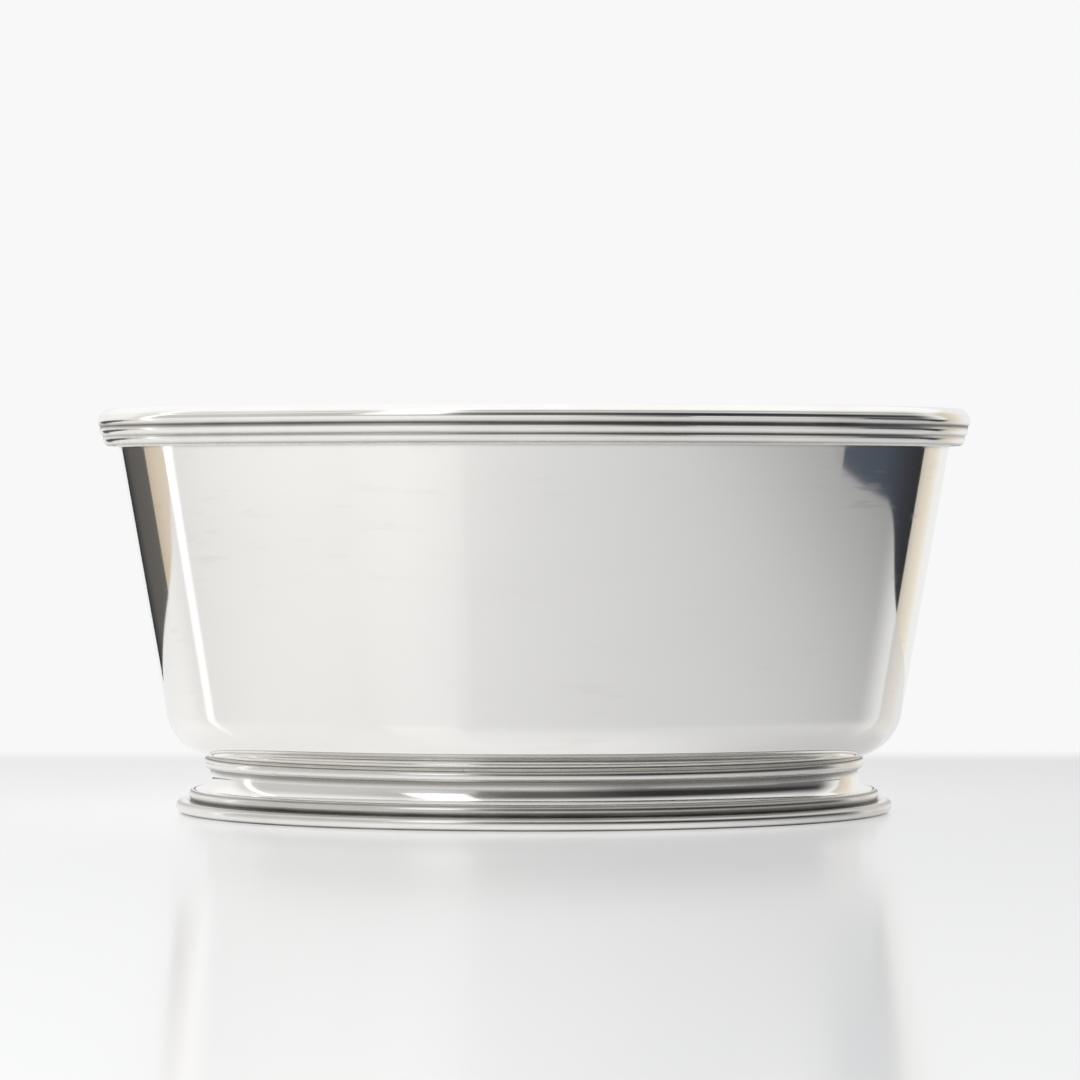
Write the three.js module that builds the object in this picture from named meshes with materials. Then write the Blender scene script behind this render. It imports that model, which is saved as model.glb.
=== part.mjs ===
// A footed silver bowl: a spun body, a reeded moulding round its rim and a moulded foot, all soldered.
// Millimetres, +Z up. The origin is on the bowl's axis, at the surface that the bowl stands on.
// Every piece is turned about that axis, so each one is a closed profile given as (radius, height).
import * as THREE from 'three';

// Spun body
const MOUTH_DIAMETER = 220.4; // outside of the wall at its lip
const BODY_DEPTH = 89.5; // underside of the floor to the lip
const FLOOR_DIAMETER = 165.2; // flat underside, up to where the corner starts
const CORNER_RADIUS = 14; // outside of the corner between floor and wall
const BODY_SHEET = 0.9; // gauge of the sheet

// Reeded rim moulding: heights run along the wall, depths stand square to its outside
const CAP_HEIGHT = 1.5; // lip of the body to the top of the moulding
const CAP_EASE = 0.7; // top of the moulding down to its inner edge
const CAP_RISE = 1.12; // bow of the rounded top between its inner edge and the first groove
const CAP_BAND = 1.5; // top of the moulding to the first groove
const GROOVE_DEPTH = 3.85; // wall to the first groove
const REED_COUNT = 3; // reeds below the rounded top
const REED_BAND = 7.8; // first groove to the toe of the moulding
const REED_RISE = 0.48; // bow of one reed between its two grooves
const RIM_RISE = 0.4; // bow of the line that the grooves lie on
const TOE_DEPTH = 2.9; // wall to the toe of the moulding

// Foot ring, spun from sheet, with a flange under the body and a hollow neck
const FOOT_HEIGHT = 14.5; // standing surface to the flat underside of the body
const NECK_DIAMETER = 169.8; // outside of the neck, under the body's corner
const FOOT_SHEET = 0.9; // gauge of the sheet
const FLANGE_WIDTH = 8.6; // neck in to the edge of the flange
const HOLLOW_RADIUS = 5.9; // sweep between neck and base
const HOLLOW_HEIGHT = 4; // top of the base up to where the sweep starts
const EDGE_WIDTH = 2.4; // flat edge of the ring, outside of the sweep

// Collet wire, the half-round bead at the top of the foot
const COLLET_HEIGHT = 2.8;
const COLLET_FLARE = 0.8; // lower edge out to the upper edge
const COLLET_RISE = 0.9;

// Base moulding: a step bead above a wider base bead
const BASE_HEIGHT = 6.2; // standing surface to the top of the step bead
const STEP_LEVEL = 3.3; // standing surface to the groove between the beads
const SEAT_WIDTH = 2; // ledge that carries the edge of the foot ring
const SHOULDER_WIDTH = 0.4; // silver between that ledge and the groove
const STEP_RISE = 0.8; // bow of the step bead
const LEDGE_WIDTH = 2.9; // groove out to the base bead
const BASE_RISE = 1.4; // bow of the base bead
const SOLE_LIFT = 0.3; // height of the small fillet under the base bead

// Soldered joints
const JOINT_GAP = 0.3; // space that the solder fills between two pieces
const SEAM_CLEARANCE = 0.05; // solder to the silver on either side
const SEAM_FILLET = 0.9; // solder that shows below the rim moulding

// Finishes, as colours and roughness
const SILVER_COLOUR = 0xe3e1dc;
const SOLDER_COLOUR = 0xcfcabd;
const MIRROR_POLISH = 0.1; // body
const HAND_POLISH = 0.14; // rim and foot, where a wheel reaches less
const SOLDER_FINISH = 0.35;

// Facets
const TURN_STEPS = 64; // round the axis
const CORNER_STEPS = 6; // round the body's corner
const CAP_STEPS = 6; // over the rounded top of the rim
const BEAD_STEPS = 5; // over one reed or bead
const SWEEP_STEPS = 6; // down the hollow of the neck

const point = (radius, height) => new THREE.Vector2(radius, height);

// Points of an arc about a centre, from one angle to another, both ends included.
function arcAbout(centre, radius, start, end, steps) {
  const points = [];
  for (let i = 0; i <= steps; i += 1) {
    const angle = start + ((end - start) * i) / steps;
    points.push(point(centre.x + radius * Math.cos(angle), centre.y + radius * Math.sin(angle)));
  }
  return points;
}

// Points of an arc between two points, bowed by a rise to the right of the way it runs.
function bow(from, to, rise, steps) {
  const chord = to.clone().sub(from);
  const half = chord.length() / 2;
  const radius = (half * half + rise * rise) / (2 * rise);
  const right = point(chord.y, -chord.x).normalize();
  const centre = from.clone().add(to).multiplyScalar(0.5).addScaledVector(right, rise - radius);
  const start = Math.atan2(from.y - centre.y, from.x - centre.x);
  const sweep = 4 * Math.atan2(rise, half);
  return arcAbout(centre, radius, start, start + sweep, steps);
}

// Drops the points that repeat the one before them, where two stretches of a profile join.
function withoutRepeats(points) {
  const tolerance = 1e-6;
  return points.filter((p, i) => i === 0 || p.distanceTo(points[i - 1]) > tolerance);
}

const metal = (color, roughness) => new THREE.MeshStandardMaterial({ color, roughness, metalness: 1 });
const silver = (roughness) => metal(SILVER_COLOUR, roughness);
const solder = () => metal(SOLDER_COLOUR, SOLDER_FINISH);

// Turns a profile, listed anticlockwise, about the axis. A ring's profile closes on its first point.
function turned(name, profile, material) {
  const points = withoutRepeats(profile);
  if (points[0].x > 0) {
    points.push(points[0].clone());
  }
  const geometry = new THREE.LatheGeometry(points, TURN_STEPS).rotateX(Math.PI / 2);
  const mesh = new THREE.Mesh(geometry, material);
  mesh.name = name;
  return mesh;
}

// A flat ring of rectangular section.
function washer(name, inner, outer, low, high, material) {
  const profile = [point(inner, low), point(outer, low), point(outer, high), point(inner, high)];
  return turned(name, profile, material);
}

// The wall is the tangent from the lip to the corner's circle; its lean is measured from the axis.
const floorRadius = FLOOR_DIAMETER / 2;
const cornerCentre = point(floorRadius, CORNER_RADIUS);
const lipOutside = point(MOUTH_DIAMETER / 2, BODY_DEPTH);
const toLip = lipOutside.clone().sub(cornerCentre);
const wallNormal = toLip.angle() - Math.acos(CORNER_RADIUS / toLip.length());
const wallLean = -wallNormal;
const wallUp = point(Math.sin(wallLean), Math.cos(wallLean));
const wallOut = point(Math.cos(wallLean), -Math.sin(wallLean));

// A point of the rim, a drop along the wall below the moulding's top and a depth out from the wall.
const rimTop = lipOutside.clone().addScaledVector(wallUp, CAP_HEIGHT);
function rimPoint(drop, depth) {
  return rimTop.clone().addScaledVector(wallUp, -drop).addScaledVector(wallOut, depth);
}

// The point at a height on the line that runs up the wall at a depth from its outside.
function wallPointAt(height, depth) {
  const start = lipOutside.clone().addScaledVector(wallOut, depth);
  return start.addScaledVector(wallUp, (height - start.y) / wallUp.y);
}

// The height of the body's underside at a radius: flat, then round the corner.
function undersideAt(radius) {
  const beyond = Math.max(radius - floorRadius, 0);
  return FOOT_HEIGHT + CORNER_RADIUS - Math.sqrt(CORNER_RADIUS ** 2 - beyond ** 2);
}

function bowlBody() {
  const downward = -Math.PI / 2;
  const outside = arcAbout(cornerCentre, CORNER_RADIUS, downward, wallNormal, CORNER_STEPS);
  const inside = arcAbout(cornerCentre, CORNER_RADIUS - BODY_SHEET, wallNormal, downward, CORNER_STEPS);
  const lipInside = wallPointAt(BODY_DEPTH, -BODY_SHEET);
  const profile = [point(0, 0), ...outside, lipOutside, lipInside, ...inside, point(0, BODY_SHEET)];
  return turned('bowl_body', profile, silver(MIRROR_POLISH));
}

const toeDrop = CAP_BAND + REED_BAND;

function rimMoulding() {
  const toe = rimPoint(toeDrop, TOE_DEPTH);
  const firstGroove = rimPoint(CAP_BAND, GROOVE_DEPTH);
  const grooves = bow(toe, firstGroove, RIM_RISE, REED_COUNT);
  const reeds = [];
  for (let i = 0; i < REED_COUNT; i += 1) {
    reeds.push(...bow(grooves[i], grooves[i + 1], REED_RISE, BEAD_STEPS));
  }
  const innerEdge = rimPoint(CAP_EASE, -BODY_SHEET);
  const seatHeight = BODY_DEPTH + JOINT_GAP;
  const profile = [
    rimPoint(toeDrop, JOINT_GAP),
    toe,
    ...reeds,
    ...bow(firstGroove, innerEdge, CAP_RISE, CAP_STEPS),
    wallPointAt(seatHeight, -BODY_SHEET),
    wallPointAt(seatHeight, JOINT_GAP),
  ];
  return turned('rim_moulding', profile, silver(HAND_POLISH));
}

// The solder stands behind the moulding from its toe to the lip and shows as a fillet under the toe.
function rimSolderSeam() {
  const inner = SEAM_CLEARANCE;
  const outer = JOINT_GAP - SEAM_CLEARANCE;
  const filletTop = toeDrop + SEAM_CLEARANCE;
  const profile = [
    rimPoint(filletTop + SEAM_FILLET, inner),
    rimPoint(filletTop, inner + SEAM_FILLET),
    rimPoint(filletTop, outer),
    wallPointAt(BODY_DEPTH, outer),
    wallPointAt(BODY_DEPTH, inner),
  ];
  return turned('rim_solder_seam', profile, solder());
}

// Radii and levels that the pieces of the foot share.
const neckRadius = NECK_DIAMETER / 2;
const flangeInside = neckRadius - FLANGE_WIDTH;
const hollowCentre = point(neckRadius + HOLLOW_RADIUS, BASE_HEIGHT + HOLLOW_HEIGHT);
const hollowSweep = Math.asin(HOLLOW_HEIGHT / HOLLOW_RADIUS);
const ringEdge = hollowCentre.x - HOLLOW_RADIUS * Math.cos(hollowSweep) + EDGE_WIDTH;
const footTop = FOOT_HEIGHT - JOINT_GAP;
const colletInside = neckRadius + JOINT_GAP;
const colletTop = undersideAt(colletInside) - JOINT_GAP;
const colletFoot = colletTop - COLLET_HEIGHT;
const seatLevel = BASE_HEIGHT - FOOT_SHEET - JOINT_GAP;
const seatOutside = ringEdge + JOINT_GAP;
const seatInside = ringEdge - SEAT_WIDTH;

function footRing() {
  const inward = Math.PI;
  const underRadius = HOLLOW_RADIUS + FOOT_SHEET;
  const underSweep = Math.asin((HOLLOW_HEIGHT + FOOT_SHEET) / underRadius);
  const underside = arcAbout(hollowCentre, underRadius, inward, inward + underSweep, SWEEP_STEPS);
  const outside = arcAbout(hollowCentre, HOLLOW_RADIUS, inward + hollowSweep, inward, SWEEP_STEPS);
  const profile = [
    point(flangeInside, footTop - FOOT_SHEET),
    point(neckRadius - FOOT_SHEET, footTop - FOOT_SHEET),
    ...underside,
    point(ringEdge, BASE_HEIGHT - FOOT_SHEET),
    point(ringEdge, BASE_HEIGHT),
    ...outside,
    point(neckRadius, footTop),
    point(flangeInside, footTop),
  ];
  return turned('foot_ring', profile, silver(HAND_POLISH));
}

function colletWire() {
  const low = point(colletInside, colletFoot);
  const high = point(colletInside + COLLET_FLARE, colletTop);
  const profile = [...bow(low, high, COLLET_RISE, BEAD_STEPS), point(colletInside, colletTop)];
  return turned('foot_collet_wire', profile, silver(HAND_POLISH));
}

function baseMoulding() {
  const grooveRadius = seatOutside + SHOULDER_WIDTH;
  const baseBead = grooveRadius + LEDGE_WIDTH;
  const profile = [
    point(seatInside, 0),
    point(baseBead, 0),
    ...bow(point(baseBead, SOLE_LIFT), point(baseBead, STEP_LEVEL), BASE_RISE, BEAD_STEPS),
    ...bow(point(grooveRadius, STEP_LEVEL), point(grooveRadius, BASE_HEIGHT), STEP_RISE, BEAD_STEPS),
    point(seatOutside, BASE_HEIGHT),
    point(seatOutside, seatLevel),
    point(seatInside, seatLevel),
  ];
  return turned('foot_base_moulding', profile, silver(HAND_POLISH));
}

// One flat ring of solder joins the flange to the underside of the body.
function footSolderSeam() {
  const low = footTop + SEAM_CLEARANCE;
  const high = FOOT_HEIGHT - SEAM_CLEARANCE;
  return washer('foot_solder_seam', flangeInside, neckRadius, low, high, solder());
}

function colletSolderSeam() {
  const inner = neckRadius + SEAM_CLEARANCE;
  const outer = colletInside - SEAM_CLEARANCE;
  return washer('collet_solder_seam', inner, outer, colletFoot, footTop, solder());
}

function baseSolderSeam() {
  const low = seatLevel + SEAM_CLEARANCE;
  const high = seatLevel + JOINT_GAP - SEAM_CLEARANCE;
  return washer('base_solder_seam', seatInside, ringEdge, low, high, solder());
}

// The bowl and its rim are modelled from the underside of the body and stand on the foot.
const bowl = new THREE.Group();
bowl.name = 'bowl';
bowl.position.z = FOOT_HEIGHT;
bowl.add(bowlBody(), rimMoulding(), rimSolderSeam());

const foot = new THREE.Group();
foot.name = 'foot';
foot.add(footRing(), colletWire(), baseMoulding(), footSolderSeam(), colletSolderSeam(), baseSolderSeam());

const silverBowl = new THREE.Group();
silverBowl.name = 'silver_bowl';
silverBowl.add(bowl, foot);

export default silverBowl;
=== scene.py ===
"""A footed silver bowl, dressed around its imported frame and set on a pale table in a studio."""

import math

import bmesh
import bpy
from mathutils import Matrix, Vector


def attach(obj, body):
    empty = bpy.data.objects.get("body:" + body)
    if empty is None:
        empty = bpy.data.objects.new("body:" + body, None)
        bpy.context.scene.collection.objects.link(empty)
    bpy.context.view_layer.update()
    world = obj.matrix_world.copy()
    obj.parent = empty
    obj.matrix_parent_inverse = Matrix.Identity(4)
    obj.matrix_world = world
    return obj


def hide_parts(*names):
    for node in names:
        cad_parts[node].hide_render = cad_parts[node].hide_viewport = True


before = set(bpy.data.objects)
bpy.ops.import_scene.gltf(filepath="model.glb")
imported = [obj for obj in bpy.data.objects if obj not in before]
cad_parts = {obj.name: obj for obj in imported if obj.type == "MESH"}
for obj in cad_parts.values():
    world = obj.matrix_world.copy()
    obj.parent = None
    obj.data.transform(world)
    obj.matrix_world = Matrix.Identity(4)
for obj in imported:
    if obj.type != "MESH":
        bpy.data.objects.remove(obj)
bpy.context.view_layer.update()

bl_info = {
    "name": "Silver Bowl",
    "version": (1, 0, 0),
    "blender": (4, 5, 0),
    "location": "3D View > Sidebar > Silver Bowl",
    "description": "Turns the pieces of a footed silver bowl and sets up its studio",
    "category": "Object",
}

MM = 0.001
WHOLE_BODY = "root"  # the one body that every piece rides on
FULL_TURN = 2 * math.pi
NEAR_ZERO = 1e-8
NOISE_MIDDLE = 0.5
STATIONS = ("along", "wear", "recess")  # what is stored at each point of a profile


# Properties


def size(name, description, millimetres):
    """A length, written in millimetres and kept in metres."""
    return bpy.props.FloatProperty(
        name=name, description=description, default=millimetres * MM, min=0.0, precision=5, unit="LENGTH"
    )


def distance(name, description, metres):
    return bpy.props.FloatProperty(name=name, description=description, default=metres, unit="LENGTH")


def share(name, description, default):
    return bpy.props.FloatProperty(
        name=name, description=description, default=default, min=0.0, max=1.0, subtype="FACTOR"
    )


def count(name, description, default):
    return bpy.props.IntProperty(name=name, description=description, default=default, min=0)


def colour(name, description, default):
    return bpy.props.FloatVectorProperty(
        name=name, description=description, default=default, min=0.0, size=3, subtype="COLOR"
    )


class BodySizes(bpy.types.PropertyGroup):
    """Sizes of the spun body."""

    mouth_diameter: size("Mouth diameter", "Outside of the wall at its lip", 220.4)
    depth: size("Depth", "Underside of the floor to the lip", 89.5)
    floor_diameter: size("Floor diameter", "Flat underside, up to where the corner starts", 165.2)
    corner_radius: size("Corner radius", "Outside of the corner between floor and wall", 14)
    sheet: size("Sheet", "Gauge of the sheet", 0.9)
    ripple_height: size("Ripple height", "How far the spun sheet waves in and out", 0.012)
    ripple_length: size("Ripple length", "Length of one wave of the spun sheet", 34)
    ripple_seed: count("Ripple seed", "Picks one pattern of waves", 7)


class RimSizes(bpy.types.PropertyGroup):
    """Sizes of the reeded moulding; drops run down the wall and depths stand square to it."""

    cap_height: size("Cap height", "Lip of the body to the top of the moulding", 1.5)
    cap_ease: size("Cap ease", "Top of the moulding down to its inner edge", 0.7)
    cap_rise: size("Cap rise", "Bow of the rounded top", 1.12)
    cap_band: size("Cap band", "Top of the moulding to the first groove", 1.5)
    groove_depth: size("Groove depth", "Wall to the first groove", 3.85)
    reed_count: count("Reeds", "Reeds below the rounded top", 3)
    reed_band: size("Reed band", "First groove to the toe of the moulding", 7.8)
    reed_rise: size("Reed rise", "Bow of one reed between its grooves", 0.48)
    rim_rise: size("Rim rise", "Bow of the line that the grooves lie on", 0.4)
    toe_depth: size("Toe depth", "Wall to the toe of the moulding", 2.9)


class FootSizes(bpy.types.PropertyGroup):
    """Sizes of the foot ring, its collet wire and its base moulding."""

    height: size("Foot height", "Standing surface to the flat underside of the body", 14.5)
    neck_diameter: size("Neck diameter", "Outside of the neck, under the body's corner", 169.8)
    sheet: size("Foot sheet", "Gauge of the foot ring's sheet", 0.9)
    flange_width: size("Flange width", "Neck in to the edge of the flange", 8.6)
    hollow_radius: size("Hollow radius", "Sweep between neck and base", 5.9)
    hollow_height: size("Hollow height", "Top of the base up to where the sweep starts", 4)
    edge_width: size("Edge width", "Flat edge of the ring, outside of the sweep", 2.4)
    collet_height: size("Collet height", "Height of the half-round wire", 2.8)
    collet_flare: size("Collet flare", "Lower edge of the wire out to its upper edge", 0.8)
    collet_rise: size("Collet rise", "Bow of the half-round wire", 0.9)
    base_height: size("Base height", "Standing surface to the top of the step bead", 6.2)
    step_level: size("Step level", "Standing surface to the groove between the beads", 3.3)
    seat_width: size("Seat width", "Ledge that carries the edge of the foot ring", 2)
    shoulder_width: size("Shoulder width", "Silver between that ledge and the groove", 0.4)
    step_rise: size("Step rise", "Bow of the step bead", 0.8)
    ledge_width: size("Ledge width", "Groove out to the base bead", 2.9)
    base_rise: size("Base rise", "Bow of the base bead", 1.4)
    sole_lift: size("Sole lift", "Height of the fillet under the base bead", 0.3)


class JointSizes(bpy.types.PropertyGroup):
    """Sizes of the soldered joints and of the worked edges."""

    gap: size("Joint gap", "Space that the solder fills between two pieces", 0.3)
    clearance: size("Clearance", "Solder to the silver on either side", 0.02)
    fillet: size("Fillet", "Solder that shows below the rim moulding", 0.9)
    edge_ease: size("Edge ease", "Silver taken off each sharp edge by polishing", 0.12)
    solder_ease: size("Solder ease", "Rounding of the solder's edges", 0.04)
    turns: count("Turns", "Facets round the axis", 256)


class SilverFinish(bpy.types.PropertyGroup):
    """Colours and polish of the silver."""

    sheet_colour: colour("Sheet colour", "Polished silver of the body and the neck", (0.935, 0.925, 0.905))
    moulding_colour: colour("Moulding colour", "Polished silver of the mouldings", (0.92, 0.91, 0.885))
    solder_colour: colour("Solder colour", "Silver solder, a little yellow", (0.80, 0.77, 0.70))
    # Also the colour of the painted shade in the grooves, under the rim moulding and on the foot's beads.
    tarnish_and_shade_colour: colour("Tarnish colour", "Sulphide film in the recesses", (0.10, 0.088, 0.074))
    haze_colour: colour("Haze colour", "Thin film left where a cloth rubbed", (0.80, 0.775, 0.735))
    polish: share("Polish", "Roughness of the best polished silver", 0.045)
    hand_polish: share("Hand polish", "Roughness of the mouldings", 0.11)
    satin: share("Satin", "Roughness of the solder", 0.22)


class StudioSettings(bpy.types.PropertyGroup):
    """Camera, table and light."""

    camera_distance: distance("Camera distance", "Camera to the bowl's axis", 1.5)
    eye_height: distance("Eye height", "Camera above the table", 0.0835)
    aim_height: distance("Aim height", "Point on the axis at the middle of the picture", 0.07116)
    aim_side: distance("Aim side", "That point's place to the right of the axis", 0.00158)
    lens: bpy.props.FloatProperty(
        name="Lens", description="Focal length on a 36 mm sensor", default=190.4, unit="CAMERA"
    )
    backdrop_level: share("Backdrop level", "White of the backdrop as the camera sees it", 0.94)
    soft_level: share("Soft level", "Even light from all round", 0.25)
    key_power: bpy.props.FloatProperty(
        name="Key power", description="Large soft lamp on the left", default=98.0, unit="POWER"
    )
    table_colour: colour("Table colour", "White lacquer of the table", (0.86, 0.865, 0.87))
    light_colour: colour("Light colour", "The table where its left side is in the light", (0.94, 0.94, 0.935))
    shade_colour: colour("Shade colour", "The table where its right side is in shade", (0.66, 0.665, 0.67))
    foot_shade: colour("Foot shade", "The table close beside the foot", (0.42, 0.42, 0.425))
    table_gloss: share("Table gloss", "Roughness of the lacquer", 0.13)
    table_matt: share("Table matt", "How much of the lacquer has lost its shine, as the camera sees it", 0.45)


GROUPS = {
    "bowl_body": BodySizes,
    "bowl_rim": RimSizes,
    "bowl_foot": FootSizes,
    "bowl_joints": JointSizes,
    "bowl_finish": SilverFinish,
    "bowl_studio": StudioSettings,
}


# Node trees


def socket_of(sockets, key):
    """A socket by its place, its identifier or its name."""
    if isinstance(key, int):
        return sockets[key]
    for socket in sockets:
        if socket.identifier == key:
            return socket
    return sockets[key]


class Value:
    """An output of a node. Arithmetic on values adds Math nodes to their tree."""

    def __init__(self, graph, socket):
        self.graph = graph
        self.socket = socket

    def output(self, key):
        """Another output of the same node."""
        return Value(self.graph, socket_of(self.socket.node.outputs, key))

    def maths(self, operation, *others):
        return self.graph.maths(operation, self, *others)

    def __add__(self, other):
        return self.maths("ADD", other)

    __radd__ = __add__

    def __sub__(self, other):
        return self.maths("SUBTRACT", other)

    def __rsub__(self, other):
        return self.graph.maths("SUBTRACT", other, self)

    def __mul__(self, other):
        return self.maths("MULTIPLY", other)

    __rmul__ = __mul__

    def __truediv__(self, other):
        return self.maths("DIVIDE", other)

    def __rtruediv__(self, other):
        return self.graph.maths("DIVIDE", other, self)

    def __pow__(self, other):
        return self.maths("POWER", other)

    def between(self, low, high):
        """0 at low and 1 at high, with a soft start and end."""
        settings = {"interpolation_type": "SMOOTHSTEP"}
        return self.graph.node("ShaderNodeMapRange", settings, {0: self, "From Min": low, "From Max": high})


class Graph:
    """A node tree that is filled by calls."""

    def __init__(self, tree):
        self.tree = tree
        tree.nodes.clear()

    def node(self, kind, settings=None, sockets=None, output=0):
        """Adds a node, makes its settings, then fills its sockets; returns one of its outputs."""
        made = self.tree.nodes.new(kind)
        for name, setting in (settings or {}).items():
            setattr(made, name, setting)
        for key, given in (sockets or {}).items():
            socket = socket_of(made.inputs, key)
            if isinstance(given, Value):
                self.tree.links.new(given.socket, socket)
            else:
                socket.default_value = given
        return Value(self, socket_of(made.outputs, output)) if made.outputs else None

    def maths(self, operation, *values):
        return self.node("ShaderNodeMath", {"operation": operation}, dict(enumerate(values)))

    def vector(self, x, y, z):
        return self.node("ShaderNodeCombineXYZ", None, {"X": x, "Y": y, "Z": z})

    def split(self, vector):
        """The x, y and z of a vector."""
        x = self.node("ShaderNodeSeparateXYZ", None, {0: vector})
        return x, x.output("Y"), x.output("Z")

    def coordinates(self, kind):
        """A texture coordinate as a vector, and as its x, y and z."""
        place = self.node("ShaderNodeTexCoord", output=kind)
        return place, *self.split(place)

    def from_axis(self, x, y):
        """Distance from the axis, kept above zero."""
        return (x * x + y * y + NEAR_ZERO) ** 0.5

    def mix(self, factor, first, second):
        """A colour between two colours."""
        sockets = {"Factor_Float": factor, "A_Color": first, "B_Color": second}
        return self.node("ShaderNodeMix", {"data_type": "RGBA"}, sockets, "Result_Color")

    def noise(self, vector, detail=2.0, roughness=0.5):
        sockets = {"Vector": vector, "Scale": 1.0, "Detail": detail, "Roughness": roughness}
        return self.node("ShaderNodeTexNoise", None, sockets)


def solid(tint):
    """A colour as the four numbers of a colour socket."""
    return (*tint, 1.0)


def grey(level):
    return (level, level, level)


def weighed(values, weights):
    """The sum of some values, each times its weight."""
    terms = [value * weight for value, weight in zip(values, weights)]
    return sum(terms[1:], terms[0])


class Material(Graph):
    """A new material, whose node tree is filled by calls."""

    def __init__(self, name):
        self.material = bpy.data.materials.new(name)
        self.material.use_nodes = True
        super().__init__(self.material.node_tree)

    def shown(self, shader):
        """The material, with that shader on its surface."""
        self.node("ShaderNodeOutputMaterial", None, {"Surface": shader})
        return self.material


# Finishes


class Surface(Material):
    """The material of a turned piece, with its place on the piece at hand."""

    WHEEL_NOISE = (3.0, 0.6)  # detail and roughness
    RUB_ROUGHNESS = 0.55
    SCRATCH_DETAIL = 1.0

    def __init__(self, name):
        super().__init__(name)
        self.place, self.x, self.y, self.z = self.coordinates("Object")
        self.radius = self.from_axis(self.x, self.y)
        self.along, self.wear, self.recess = [self.station(key) for key in STATIONS]

    def station(self, name):
        """A number that was stored along the profile before it was turned."""
        settings = {"attribute_name": name, "attribute_type": "GEOMETRY"}
        return self.node("ShaderNodeAttribute", settings, output="Fac")

    def turning_lines(self, per_metre, wander):
        """Fine lines that run round the piece, as left by the polishing wheel."""
        sideways = self.x / self.radius * wander
        inward = self.y / self.radius * wander
        return self.noise(self.vector(self.along * per_metre, sideways, inward), *self.WHEEL_NOISE)

    def rubbed(self, round_scale, up_scale, detail=2.0):
        """Marks drawn out by rubbing, at one scale round the piece and another up it."""
        stretched = self.vector(self.x * round_scale, self.y * round_scale, self.z * up_scale)
        return self.noise(stretched, detail, self.RUB_ROUGHNESS)

    def scratches(self, turn, length_scale, cross_scale, width):
        """Straight hairlines in one direction across a level face."""
        settings = {"vector_type": "POINT"}
        scale = (length_scale, cross_scale, cross_scale)
        sockets = {"Vector": self.place, "Rotation": (0.0, 0.0, turn), "Scale": scale}
        lines = self.noise(self.node("ShaderNodeMapping", settings, sockets), self.SCRATCH_DETAIL)
        return 1.0 - (lines - NOISE_MIDDLE).maths("ABSOLUTE").between(0.0, width)

    def finished(self, base, roughness, height, relief):
        """The material, as polished metal of that colour, roughness and relief."""
        bump = self.node("ShaderNodeBump", None, {"Strength": 1.0, "Distance": relief, "Height": height})
        sockets = {"Base Color": base, "Metallic": 1.0, "Roughness": roughness, "Normal": bump}
        return self.shown(self.node("ShaderNodeBsdfPrincipled", None, sockets))


# Marks on the sheet: scales per metre, ramps from nothing to full, and weights
SHEET_LINES = (2600, 1.5)
MARK_SCALES = (55, 420, 3.0)
MARK_RAMP = (0.56, 0.74)
CLOTH_SCALES = (9, 26)
CLOTH_RAMP = (0.35, 0.75)
SCRATCHES = ((0.35, 14, 420, 0.02), (1.4, 17, 510, 0.018), (2.5, 17, 510, 0.018))
SHEET_HAZE = (0.55, 0.12, 0.25)  # rubbed marks, cloth, wear
SHEET_GRAIN = (0.02, 0.05, 0.09, 0.1, 0.25)  # lines, marks, wear, scratches, tarnish and painted shade
# How dark the tarnish and painted shade make the sheet
SHEET_TARNISH_AND_SHADE = 0.9
SHEET_LINE_HEIGHT = 0.4
SHEET_RELIEF = 0.6e-6


def sheet_silver(finish):
    """Mirror-polished sheet with wheel lines, rub marks, scratches where it is used, and tarnish and painted
    shade where its profile marks it.
    """
    surface = Surface("polished_sheet_silver")
    wear, recess = surface.wear, surface.recess
    lines = surface.turning_lines(*SHEET_LINES)
    marks = surface.rubbed(*MARK_SCALES).between(*MARK_RAMP)
    cloth = surface.rubbed(*CLOTH_SCALES).between(*CLOTH_RAMP)
    scratched = surface.scratches(*SCRATCHES[0])
    for scratch in SCRATCHES[1:]:
        scratched = scratched.maths("MAXIMUM", surface.scratches(*scratch))
    scratched = scratched * wear
    haze = weighed((marks * cloth, cloth, wear), SHEET_HAZE)
    bright = surface.mix(haze, solid(finish.sheet_colour), solid(finish.haze_colour))
    # Tarnish and painted shade darken the sheet where its profile marks it
    base = surface.mix(recess * SHEET_TARNISH_AND_SHADE, bright, solid(finish.tarnish_and_shade_colour))
    roughness = finish.polish + weighed((lines, marks, wear, scratched, recess), SHEET_GRAIN)
    return surface.finished(base, roughness, lines * SHEET_LINE_HEIGHT + scratched, SHEET_RELIEF)


# Marks on the mouldings
MOULDING_LINES = (4160, 2.5)
PATCH_SCALES = (40, 40, 3.0)
PATCH_RAMP = (0.4, 0.8)
MOULDING_HAZE = (0.3, 0.3)  # patches, wear
MOULDING_GRAIN = (0.03, 0.12, 0.28)  # lines, wear, tarnish and painted shade
# How far tarnish and painted shade darken the mouldings: at least, with the patches, and at most
LEAST_DARKENED = 0.65
PATCHES_DARKENED = 0.5
MOST_TARNISH_AND_SHADE = 0.96
MOULDING_RELIEF = 1.0e-6


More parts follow.
